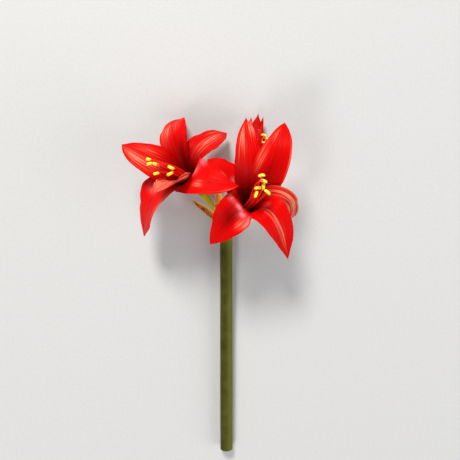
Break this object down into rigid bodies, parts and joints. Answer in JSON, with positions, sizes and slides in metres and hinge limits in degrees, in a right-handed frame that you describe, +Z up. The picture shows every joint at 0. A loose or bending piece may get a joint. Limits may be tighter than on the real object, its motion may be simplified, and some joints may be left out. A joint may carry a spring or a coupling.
{
  "type": "amaryllis stem",
  "caption": "Cut amaryllis stem with large red trumpet blooms on a hollow green scape, lying on its side.",
  "frame": {"origin": "middle of the underside of the box round the stem as it lies on a surface", "axes": "+Z up, +Y along the scape from its cut end towards the blooms, +X to the right seen from above with the blooms away from the viewer"},
  "size_m": [0.213, 0.4542, 0.1308],
  "materials": {
    "scape_green": "satin",
    "bract_brown": "matte",
    "petal_red": "satin",
    "stamen_yellow": "matte",
    "pistil_red": "satin"
  },
  "bodies": {
    "root": {"scape": "scape_green", "spathe_left": "bract_brown", "spathe_upper": "bract_brown", "bloom_left": "petal_red", "bloom_right": "petal_red", "bloom_back": "petal_red", "stamens_left": "stamen_yellow", "stamens_right": "stamen_yellow", "stamens_back": "stamen_yellow", "pistil_left": "pistil_red", "pistil_right": "pistil_red", "pistil_back": "pistil_red"}
  },
  "joints": []
}
